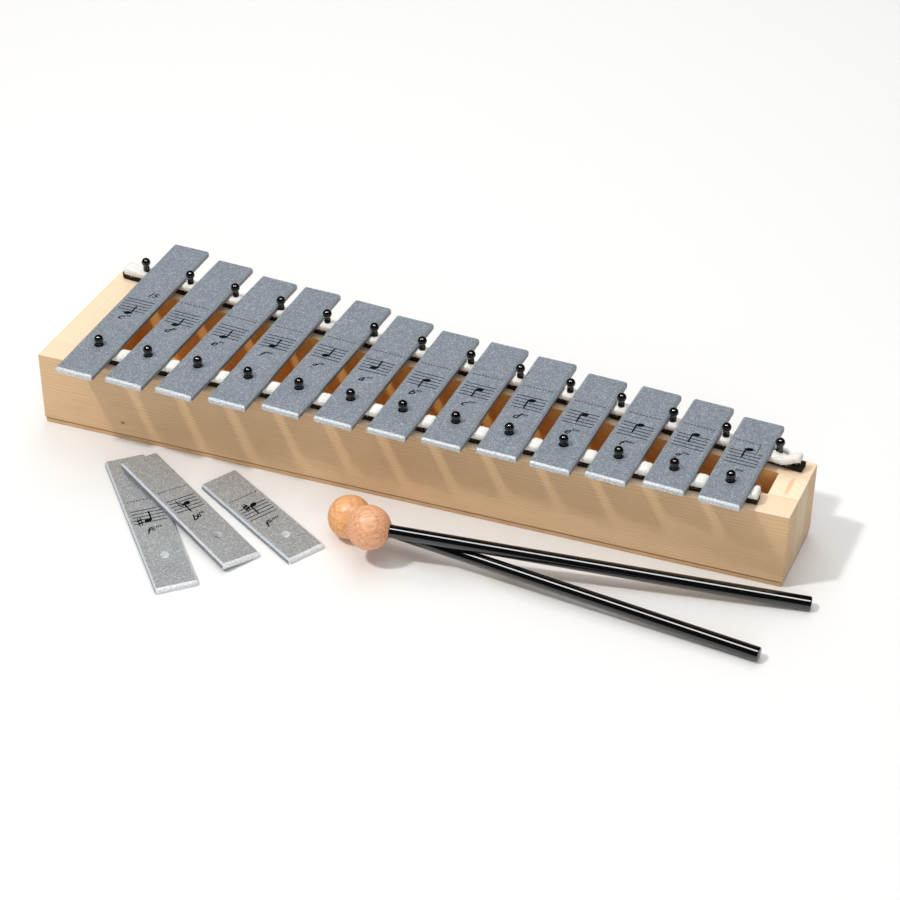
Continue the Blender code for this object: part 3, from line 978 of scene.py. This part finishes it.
stripLook = {
    "colour": (0.008, 0.006, 0.004, 1),
    "brown": (0.045, 0.030, 0.018, 1),
    "threadSize": 0.0005,
    "roughness": 0.95,
    "raggedness": 0.10 * mm,
    "height": 2.85 * mm,
    "width": 6.9 * mm,
    "sink": 0.15 * mm,
    "cutRounding": 2.2 * mm,
    "frontCut": 5.0 * mm,
    "backCut": 1.6 * mm,
    "fibresPerSquareMetre": 5e5,
    "fibreLength": 0.7 * mm,
    "fibreThickness": 0.03 * mm,
}
feltLook = {
    "colour": (0.92, 0.905, 0.86, 1),
    "shade": (0.70, 0.68, 0.63, 1),
    "threadSize": 0.00055,
    "roughness": 1.0,
    "underBarHeight": 2.7 * mm,
    "gapHeight": 4.1 * mm,
    "underBarWidth": 7.3 * mm,
    "gapWidth": 7.9 * mm,
    "lumps": 0.12 * mm,
    "sink": 0.3 * mm,
    "barReach": 10.4 * mm,
    "gapEase": 2.0 * mm,
    "frontCut": 5.0 * mm,
    "endRounding": 0.7 * mm,
    "sway": 0.35 * mm,
    "fibresPerSquareMetre": 9e5,
    "fibreLength": 1.0 * mm,
    "fibreThickness": 0.035 * mm,
}


def fibreMaterial(name, look, sheen):
    material, tree, shader, where = startMaterial(name, look["roughness"], 0.0, 0.15)
    matted = useGroup(tree, mattedFibres, {"Vector": where, "Thread Size": look["threadSize"]})
    second = look.get("brown") or look["shade"]
    share = between(tree, matted["Threads"], 0.25, 0.8, 0.5, 0.0)
    colour = mixed(tree, share, look["colour"], second)
    cloud = between(tree, matted["Lumps"], 0.35, 0.7, 0.25, 0.0)
    colour = mixed(tree, cloud, colour, second)
    tree.links.new(colour, shader.inputs["Base Color"])
    shader.inputs["Sheen Weight"].default_value = sheen
    shader.inputs["Sheen Roughness"].default_value = 0.6
    height = sums(tree, "MULTIPLY_ADD", matted["Threads"], 0.5, matted["Lumps"])
    setBump(tree, shader, height, 0.6, 0.0004)
    return material


blackFibre = fibreMaterial("blackDampingFibre", stripLook, 0.0)
whiteWool = fibreMaterial("whiteWoolFelt", feltLook, 0.35)


def railEnds(node):
    low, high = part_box(node)
    start = Vector((low.x, sum(endSpan(node, low.x, 0.0009)) / 2))
    end = Vector((high.x, sum(endSpan(node, high.x, 0.0009)) / 2))
    return start, end, low.z, high.z


def fuzzTree():
    tree, given, made = startGroup(
        "looseFibres",
        "GeometryNodeTree",
        {
            "Geometry": ("NodeSocketGeometry", None),
            "Fibres Per Square Metre": number(1e6),
            "Fibre Length": number(0.001),
            "Fibre Thickness": number(0.00004),
            "Seed": ("NodeSocketInt", 4),
            "Wool": ("NodeSocketMaterial", None),
        },
        {"Geometry": "NodeSocketGeometry"},
    )
    inputs = {"Mesh": given["Geometry"], "Density": given["Fibres Per Square Metre"], "Seed": given["Seed"]}
    scatter = put(tree, "GeometryNodeDistributePointsOnFaces", inputs)
    bends = {"Resolution": 3, "Start": (0, 0, 0)}
    for point, across, up in (("Middle", 0.22, 0.45), ("End", 0.75, 0.55)):
        inputs = {"X": sums(tree, "MULTIPLY", given["Fibre Length"], across)}
        inputs["Z"] = sums(tree, "MULTIPLY", given["Fibre Length"], up)
        bends[point] = put(tree, "ShaderNodeCombineXYZ", inputs).outputs[0]
    hair = put(tree, "GeometryNodeCurveQuadraticBezier", bends)
    inputs = {"Resolution": 3, "Radius": given["Fibre Thickness"]}
    ring = put(tree, "GeometryNodeCurvePrimitiveCircle", inputs)
    inputs = {"Curve": hair.outputs[0], "Profile Curve": ring.outputs[0], "Fill Caps": True}
    tube = put(tree, "GeometryNodeCurveToMesh", inputs)
    inputs = {"Min": (-0.9, -0.9, 0.0), "Max": (0.9, 0.9, 6.28), "Seed": given["Seed"]}
    spin = put(tree, "FunctionNodeRandomValue", inputs, data_type="FLOAT_VECTOR").outputs[0]
    grow = put(tree, "FunctionNodeRandomValue", data_type="FLOAT")
    for socket in grow.inputs:
        if socket.type == "VALUE":
            socket.default_value = {"Min": 0.4, "Max": 1.3}.get(socket.name, socket.default_value)
    size = next(s for s in grow.outputs if s.type == "VALUE")
    inputs = {"Points": scatter.outputs["Points"], "Instance": tube.outputs[0]}
    inputs |= {"Rotation": scatter.outputs["Rotation"], "Scale": size}
    hairs = put(tree, "GeometryNodeInstanceOnPoints", inputs)
    turned = put(tree, "GeometryNodeRotateInstances", {"Instances": hairs.outputs[0], "Rotation": spin})
    return finishTree(tree, made, turned.outputs[0], given["Wool"])


looseFibres = fuzzTree()


def addFuzz(name, source, look, material, seed):
    made = newObject(name, source.data.copy())
    values = {
        "Fibres Per Square Metre": look["fibresPerSquareMetre"],
        "Fibre Length": look["fibreLength"],
        "Fibre Thickness": look["fibreThickness"],
        "Seed": seed,
        "Wool": material,
    }
    addTree(made, looseFibres, values)
    settled(made)
    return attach(made, "resonator")


def lumpy(point, size, seed):
    return noise.noise((point + Vector((seed, seed * 0.7, seed * 1.3))) / size)


def addStrand(shape, node, paces, section, seed, lumps, first=0.0, last=1.0):
    # A closed rounded strand along a rail; section gives height, width, squareness, sideways shift and lift.
    start, end, bottom, _ = railEnds(node)
    along = (end - start).normalized()
    across = Vector((-along.y, along.x))
    total = (end - start).length
    rings, faces = [], []
    around = 20
    for i in range(paces + 1):
        reach = total * (first + (last - first) * i / paces)
        height, width, square, aside, lift = section(reach, total)
        middle = start + along * reach + across * aside
        ring = []
        for j in range(around):
            a = math.tau * j / around
            c, s = math.cos(a), math.sin(a)
            u = math.copysign(abs(c) ** square, c) * width / 2
            v = math.copysign(abs(s) ** square, s) * height / 2
            flat = middle + across * u
            point = Vector((flat.x, flat.y, bottom + lift + height / 2 + v))
            wobble = lumpy(point, 0.0016, seed) + 1.6 * lumpy(point, 0.005, seed + 9)
            outward = Vector((across.x * c, across.y * c, max(s, 0.0)))
            ring.append(shape.verts.new(point + outward * lumps * wobble))
        rings.append(ring)
    for ring, following in zip(rings, rings[1:]):
        for j in range(around):
            k = (j + 1) % around
            faces.append(shape.faces.new((ring[j], ring[k], following[k], following[j])))
    for ring in (rings[0], rings[-1]):
        centre = shape.verts.new(sum((v.co for v in ring), Vector()) / around)
        for j in range(around):
            faces.append(shape.faces.new((ring[j], ring[(j + 1) % around], centre)))
    bmesh.ops.recalc_face_normals(shape, faces=faces)


def railPiece(name, node, shape, material):
    made = newObject(name, meshFrom(name, shape), [material])
    made.data.shade_smooth()
    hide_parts(node)
    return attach(made, "resonator")


def stripSection(node):
    # The left ends are cut short: under bar 1 in front, rounded off at the back.
    trim = stripLook["backCut"] if node.startswith("back") else stripLook["frontCut"]

    def section(reach, total):
        near = max(reach - trim, 0.0)
        rounding = 1.0 - 0.45 * max(1.0 - near / stripLook["cutRounding"], 0.0) ** 2
        return stripLook["height"], stripLook["width"] * rounding, 0.32, 0.0, -stripLook["sink"]

    return section, trim


def crossings(node):
    # Where each bar's middle line crosses this rail, as a distance along it.
    start, end, _, _ = railEnds(node)
    along = (end - start).normalized()
    found = []
    for i in range(len(pitches)):
        place = barPlaces[f"bar_{i + 1:02d}"][0]
        origin, heading = place.translation.to_2d(), place.col[1].to_2d()
        matrix = Matrix(((along.x, -heading.x), (along.y, -heading.y)))
        found.append((matrix.inverted() @ (origin - start)).x)
    return found


def smooth(value):
    value = min(max(value, 0.0), 1.0)
    return value * value * (3 - 2 * value)


def feltSection(node, seed):
    middles = crossings(node)
    start = railEnds(node)[0]
    back = node.startswith("back")
    lastPin = 0.0
    if back:
        low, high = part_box("back_pin_14")
        lastPin = (Vector(((low.x + high.x) / 2, (low.y + high.y) / 2)) - start).length

    def section(reach, total):
        nearest = min(abs(reach - m) for m in middles)
        free = (nearest - feltLook["barReach"]) / feltLook["gapEase"]
        free = math.sin(min(max(free, 0.0), 1.0) * math.pi / 2)
        ending = min(reach if back else reach - feltLook["frontCut"], total - reach)
        rounding = math.sqrt(min(max(ending / feltLook["endRounding"], 0.05), 1.0))
        height = feltLook["underBarHeight"] + (feltLook["gapHeight"] - feltLook["underBarHeight"]) * free
        width = feltLook["underBarWidth"] + (feltLook["gapWidth"] - feltLook["underBarWidth"]) * free
        aside = feltLook["sway"] * noise.noise(Vector((reach / 0.012, seed, 0)))
        lift, square = -feltLook["sink"], 0.52
        if back:
            astray = smooth((reach - lastPin + 9 * mm) / (7 * mm))
            returned = smooth((reach - lastPin - 4 * mm) / (8 * mm))
            aside -= (3.4 * astray - 2.4 * returned) * mm
            width -= 2.2 * mm * astray
            height += 0.5 * mm * astray
            square += 0.35 * astray
            lift += 2.2 * mm * smooth((reach - total + 9 * mm) / (9 * mm))
        return height * (0.7 + 0.3 * rounding), width * (0.75 + 0.25 * rounding), square, aside, lift

    def thinSection(reach, total):
        # The thin part of the split felt, behind the last pin.
        share = (reach - lastPin + 8 * mm) / (17 * mm)
        aside = (2.9 - 3.6 * smooth((share - 0.55) / 0.45)) * mm
        size = math.sqrt(min(max(min(share, 1 - share) * 5, 0.05), 1.0))
        return 2.6 * mm * size, 1.9 * mm * size, 0.9, aside, 1.4 * mm

    return section, thinSection, (lastPin - 8 * mm, lastPin + 9 * mm)


for side, seed in (("front", 3), ("back", 7)):
    node = f"{side}_damping_strip"
    section, trim = stripSection(node)
    start, end, _, _ = railEnds(node)
    shape = bmesh.new()
    addStrand(shape, node, 420, section, seed, stripLook["raggedness"], trim / (end - start).length)
    strip = railPiece(f"{side}DampingStrip", node, shape, blackFibre)
    addFuzz(f"{side}StripFuzz", strip, stripLook, blackFibre, seed)
    node = f"{side}_bar_felt"
    section, thinSection, reaches = feltSection(node, seed)
    start, end, _, _ = railEnds(node)
    total = (end - start).length
    shape = bmesh.new()
    first = feltLook["frontCut"] / total if side == "front" else 0.0
    addStrand(shape, node, 460, section, seed + 20, feltLook["lumps"], first)
    if side == "back":
        shares = reaches[0] / total, reaches[1] / total
        addStrand(shape, node, 40, thinSection, seed + 31, feltLook["lumps"], *shares)
    felt = railPiece(f"{side}BarFelt", node, shape, whiteWool)
    addFuzz(f"{side}FeltFuzz", felt, feltLook, whiteWool, seed + 2)
print("felts done")


# Pins: a ball on a neck over a wider stem, driven in a row along each rail.

pinSizes = {
    "ball": 2.38 * mm,
    "neck": 1.55 * mm,
    "stem": 1.7 * mm,
    "depth": 20 * mm,
    "sides": 28,
}


def glossBlackMaterial(name, look):
    material, tree, shader, where = startMaterial(name, look["roughness"], 0.0, look["specular"])
    inputs = {"Vector": where, "Smudge Size": look["smudgeSize"], "Grain Size": 0.0008}
    touch = useGroup(tree, handling, inputs)
    share = between(tree, touch["Smudge"], 0.4, 0.75, 0.0, look["dust"])
    tree.links.new(mixed(tree, share, look["colour"], look["dusty"]), shader.inputs["Base Color"])
    low, high = look["roughness"], look["roughness"] + 0.05
    tree.links.new(between(tree, touch["Smudge"], 0.35, 0.7, low, high), shader.inputs["Roughness"])
    setBump(tree, shader, touch["Grain"], look["bump"], 0.0001)
    return material


pinCoating = glossBlackMaterial(
    "pinCoating",
    {
        "colour": (0.002, 0.002, 0.002, 1),
        "dusty": (0.012, 0.009, 0.007, 1),
        "roughness": 0.07,
        "specular": 0.9,
        "smudgeSize": 0.003,
        "dust": 0.5,
        "bump": 0.08,
    },
)


def latheShape(profile, sides):
    shape = bmesh.new()
    rings = []
    for radius, height in profile:
        if radius < 1e-7:
            rings.append([shape.verts.new((0, 0, height))])
        else:
            angles = [math.tau * i / sides for i in range(sides)]
            points = [(radius * math.cos(a), radius * math.sin(a), height) for a in angles]
            rings.append([shape.verts.new(p) for p in points])
    for ring, above in zip(rings, rings[1:]):
        for i in range(sides):
            j = (i + 1) % sides
            corners = [ring[i % len(ring)], ring[j % len(ring)]]
            corners += [above[j % len(above)], above[i % len(above)]]
            shape.faces.new(list(dict.fromkeys(corners)))
    bmesh.ops.recalc_face_normals(shape, faces=shape.faces)
    for face in shape.faces:
        face.smooth = True
    return shape


def pinProfile():
    # Height 0 is the ball's top.
    ball, neck, stem = (pinSizes[k] for k in ("ball", "neck", "stem"))
    centre = -ball
    meet = math.asin(neck / ball)
    points = [(0, -pinSizes["depth"] - 12 * mm), (stem, -pinSizes["depth"] - 10 * mm)]
    points += [(stem, centre - 2.9 * mm), (stem - 0.1 * mm, centre - 2.6 * mm), (neck, centre - 2.35 * mm)]
    for i in range(13):
        a = meet + (math.pi - meet) * i / 12
        points.append((max(ball * math.sin(a), 0.0), centre - ball * math.cos(a)))
    points[-1] = (0, 0)
    return points


def pinRowTree():
    tree, given, made = startGroup(
        "pinRow",
        "GeometryNodeTree",
        {
            "Pin": ("NodeSocketObject", None),
            "Count": ("NodeSocketInt", 13),
            "First Place": ("NodeSocketVector", (0, 0, 0)),
            "Last Place": ("NodeSocketVector", (0, 0, 0)),
            "Lean": number(0.03),
            "Seed": ("NodeSocketInt", 2),
            "Coating": ("NodeSocketMaterial", None),
        },
        {"Geometry": "NodeSocketGeometry"},
    )
    inputs = {"Count": given["Count"], "Start Location": given["First Place"], "Offset": given["Last Place"]}
    row = put(tree, "GeometryNodeMeshLine", inputs, mode="END_POINTS")
    pin = put(tree, "GeometryNodeObjectInfo", {"Object": given["Pin"], "As Instance": True})
    back = sums(tree, "MULTIPLY", given["Lean"], -1.0)
    least = put(tree, "ShaderNodeCombineXYZ", {"X": back, "Y": back})
    most = put(tree, "ShaderNodeCombineXYZ", {"X": given["Lean"], "Y": given["Lean"], "Z": 6.28})
    inputs = {"Min": least.outputs[0], "Max": most.outputs[0], "Seed": given["Seed"]}
    tilt = put(tree, "FunctionNodeRandomValue", inputs, data_type="FLOAT_VECTOR")
    inputs = {"Points": row.outputs[0], "Instance": pin.outputs["Geometry"], "Rotation": tilt.outputs[0]}
    pins = put(tree, "GeometryNodeInstanceOnPoints", inputs)
    return finishTree(tree, made, pins.outputs[0], given["Coating"])


pinRow = pinRowTree()
pinPattern = newObject("pinPattern", meshFrom("pinPattern", latheShape(pinProfile(), pinSizes["sides"])))
for side, count, lean, seed in (("front", 13, 0.0, 5), ("back", 14, 0.012, 8)):
    nodes = [f"{side}_pin_{i + 1:02d}" for i in range(count)]
    tops = []
    for node in (nodes[0], nodes[-1]):
        low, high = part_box(node)
        tops.append(((low.x + high.x) / 2, (low.y + high.y) / 2, high.z))
    pins = newObject(f"{side}Pins", bpy.data.meshes.new(f"{side}Pins"))
    values = {"Pin": pinPattern, "Count": count, "First Place": tops[0], "Last Place": tops[1]}
    values |= {"Lean": lean, "Seed": seed, "Coating": pinCoating}
    addTree(pins, pinRow, values)
    settled(pins)
    pins.data.shade_smooth()
    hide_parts(*nodes)
    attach(pins, "resonator")
bpy.data.objects.remove(pinPattern)
print("pins done")


# Mallets: a turned beech ball on a tapering black handle.

malletSizes = {
    "headRadius": 11 * mm,
    "headFlat": 0.8 * mm,
    "boreRadius": 3.4 * mm,
    "handleStart": 3.2 * mm,
    "handleEnd": 3.5 * mm,
    "endRounding": 0.7 * mm,
    "socket": 8 * mm,
    "upperExtraReach": 1.2 * mm,
    "headSides": 64,
    "handleSides": 40,
}
beechLook = {
    "pale": (0.92, 0.50, 0.29, 1),
    "dark": (0.52, 0.20, 0.085, 1),
    "warm": (0.84, 0.40, 0.21, 1),
    "ringSpacing": 0.0012,
    "ringDepth": 0.36,
    "wander": 0.005,
    "fibreWidth": 0.0007,
    "fibreStretch": 0.08,
    "fibreDepth": 0.85,
    "cloudDepth": 0.5,
    "roughness": 0.38,
    "bump": 0.15,
}
handleBlack = glossBlackMaterial(
    "handleLacquer",
    {
        "colour": (0.002, 0.002, 0.002, 1),
        "dusty": (0.006, 0.006, 0.007, 1),
        "roughness": 0.05,
        "specular": 1.0,
        "smudgeSize": 0.012,
        "dust": 0.4,
        "bump": 0.01,
    },
)


def headProfile():
    radius, flat, bore = malletSizes["headRadius"], malletSizes["headFlat"], malletSizes["boreRadius"]
    last = math.acos((radius - flat) / radius)
    points = [(0, -radius)]
    for i in range(1, 33):
        a = math.pi - (math.pi - last) * i / 32
        points.append((radius * math.sin(a), radius * math.cos(a)))
    points.append((bore + 0.25 * mm, radius - flat + 0.02 * mm))
    bottom = radius - malletSizes["socket"]
    points += [(bore, radius - flat - 0.2 * mm), (bore, bottom), (0, bottom)]
    return points


def handleProfile(reach):
    start, end, easing = malletSizes["handleStart"], malletSizes["handleEnd"], malletSizes["endRounding"]
    points = [(0, malletSizes["headRadius"] - malletSizes["socket"] + 0.3 * mm)]
    points.append((start, points[0][1]))
    for i in range(24):
        share = (i + 1) / 24
        height = points[0][1] + (reach - easing - points[0][1]) * share
        points.append((start + (end - start) * share, height))
    for i in range(1, 6):
        a = math.radians(90) * i / 5
        points.append((end - easing * (1 - math.cos(a)), reach - easing + easing * math.sin(a)))
    points.append((0, reach))
    return points


def makeMallet(name, body, look, extraReach=0.0):
    points = nodePoints(f"{body}_handle")
    low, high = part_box(f"{body}_head")
    centre = (low + high) / 2
    far = max((p - centre).length for p in points)
    tips = [p for p in points if (p - centre).length > far - 0.5 * mm]
    heading = (sum(tips, Vector()) / len(tips) - centre).normalized()
    headPoints = nodePoints(f"{body}_head")
    back = min(p.dot(heading) for p in headPoints)
    radial = [p - heading * p.dot(heading) for p in headPoints]
    axis = sum(radial, Vector()) / len(radial)
    centre = axis + heading * (back + malletSizes["headRadius"])
    reach = max(p.dot(heading) for p in points) - centre.dot(heading) + extraReach
    place = Matrix.Translation(centre) @ heading.to_track_quat("Z", "Y").to_matrix().to_4x4()
    beech = woodMaterial(f"{name}Beech", beechLook | look)
    for part, profile, material, sides, slot in (
        ("Head", headProfile(), beech, malletSizes["headSides"], "beech"),
        ("Handle", handleProfile(reach), handleBlack, malletSizes["handleSides"], "handle"),
    ):
        shape = latheShape(profile, sides)
        shape.transform(place)
        made = newObject(name + part, meshFrom(name + part, shape), [material])
        made.data.set_sharp_from_angle(angle=math.radians(50))
        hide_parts(f"{body}_{part.lower()}")
        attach(made, body)


def headLook(body, towards, grain, distance):
    # Growth layers that face one way, with the fibres along another.
    low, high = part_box(f"{body}_head")
    centre = (low + high) / 2
    towards, grain = Vector(towards).normalized(), Vector(grain)
    grain = (grain - towards * grain.dot(towards)).normalized()
    third = towards.cross(grain)
    basis = Matrix((grain, third, towards))
    angles = basis.to_euler("XYZ")
    shifted = basis @ centre
    location = (-shifted.x, -shifted.y, distance - shifted.z)
    return {"turn": [math.degrees(a) for a in angles], "pith": location}


lowerTint = {"pale": (0.97, 0.52, 0.235, 1), "dark": (0.62, 0.25, 0.075, 1)}
lowerTint |= {"ringDepth": 0.4, "ringSpacing": 0.0018}
lowerGrain = headLook("lower_mallet", (-0.2, -0.35, 0.9), (0.85, 0.5, 0.25), 0.012)
upperGrain = headLook("upper_mallet", (0.3, -0.6, 0.75), (0.78, 0.72, 0.03), 0.004)
makeMallet("lowerMallet", "lower_mallet", lowerGrain | lowerTint)
makeMallet("upperMallet", "upper_mallet", upperGrain, malletSizes["upperExtraReach"])
print("mallets done")


# Floor, light and camera.

studio = {
    "floor": (0.90, 0.895, 0.885, 1),
    "floorRoughness": 0.22,
    "world": (0.93, 0.96, 1.0, 1),
    "worldStrength": 0.19,
    "worldSheen": 0.02,
    "aim": (0.02, -0.05, 0),
    "keyPlace": (-1.06, -0.93, 2.30),
    "keySize": (0.20, 0.20),
    "keyPower": 33.0,
    "overheadPlace": (0.05, -0.32, 1.60),
    "overheadSize": (1.7, 0.55),
    "overheadPower": 28.0,
    "abovePlace": (0.0, -0.1, 1.55),
    "aboveSize": (1.9, 1.5),
    "abovePower": 11.6,
    "behindPlace": (-0.25, 1.15, 1.25),
    "behindSize": (1.6, 1.1),
    "behindPower": 10.5,
    "frontPlace": (0.95, -1.75, 0.9),
    "frontSize": (1.6, 1.0),
    "frontPower": 11.5,
}


def floorMaterial():
    material, tree, shader, where = startMaterial("paleFloor", studio["floorRoughness"], 0.0, 0.35)
    touch = useGroup(tree, handling, {"Vector": where, "Smudge Size": 0.2, "Grain Size": 0.002})
    share = between(tree, touch["Grain"], 0.3, 0.7, 0.0, 0.04)
    tree.links.new(mixed(tree, share, studio["floor"], (0.85, 0.84, 0.83, 1)), shader.inputs["Base Color"])
    return material


shape = bmesh.new()
bmesh.ops.create_grid(shape, x_segments=8, y_segments=8, size=6.0)
floor = newObject("studioFloor", meshFrom("studioFloor", shape), [floorMaterial()])
floor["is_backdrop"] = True


def addLamp(name, place, aim, size, power, colour=(1, 1, 1)):
    lamp = bpy.data.lights.new(name, "AREA")
    lamp.shape = "RECTANGLE"
    lamp.size, lamp.size_y = size
    lamp.energy = power
    lamp.color = colour
    made = newObject(name, lamp)
    made.location = place
    made.rotation_euler = (Vector(aim) - Vector(place)).to_track_quat("-Z", "Y").to_euler()
    return made


addLamp("keyLamp", studio["keyPlace"], (0, 0, 0), studio["keySize"], studio["keyPower"], (1.0, 0.98, 0.95))
for place in ("overhead", "above", "behind", "front"):
    sizes = studio[f"{place}Place"], studio["aim"], studio[f"{place}Size"], studio[f"{place}Power"]
    lamp = addLamp(f"{place}Lamp", *sizes)
    # The strip overhead only draws the line along glossy rods; the others only light.
    lamp.visible_diffuse = place != "overhead"
    lamp.visible_glossy = place == "overhead"
world = bpy.data.worlds.new("paleRoom")
world.use_nodes = True
background = world.node_tree.nodes["Background"]
background.inputs["Color"].default_value = studio["world"]
rays = put(world.node_tree, "ShaderNodeLightPath").outputs
strengths = studio["worldStrength"], studio["worldSheen"]
strength = between(world.node_tree, rays["Is Glossy Ray"], 0.0, 1.0, *strengths)
world.node_tree.links.new(strength, background.inputs["Strength"])
bpy.context.scene.world = world
bpy.context.scene.view_settings.view_transform = "Standard"

cameraView = {
    "place": (0.3997, -0.9058, 0.7401),
    "lens": 96.76,
    "pitch": 53.531,
    "heading": 23.081,
    "roll": 0.291,
    "sensorWidth": 36,
    "clipStart": 0.01,
    "clipEnd": 50,
}
camera = newObject("camera", bpy.data.cameras.new("camera"))
camera.data.lens = cameraView["lens"]
camera.data.sensor_width = cameraView["sensorWidth"]
camera.data.clip_start = cameraView["clipStart"]
camera.data.clip_end = cameraView["clipEnd"]
camera.matrix_world = (
    Matrix.Translation(cameraView["place"])
    @ Matrix.Rotation(math.radians(cameraView["heading"]), 4, "Z")
    @ Matrix.Rotation(math.radians(cameraView["pitch"]), 4, "X")
    @ Matrix.Rotation(math.radians(cameraView["roll"]), 4, "Z")
)
bpy.context.scene.camera = camera
print("studio done")

low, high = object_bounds()
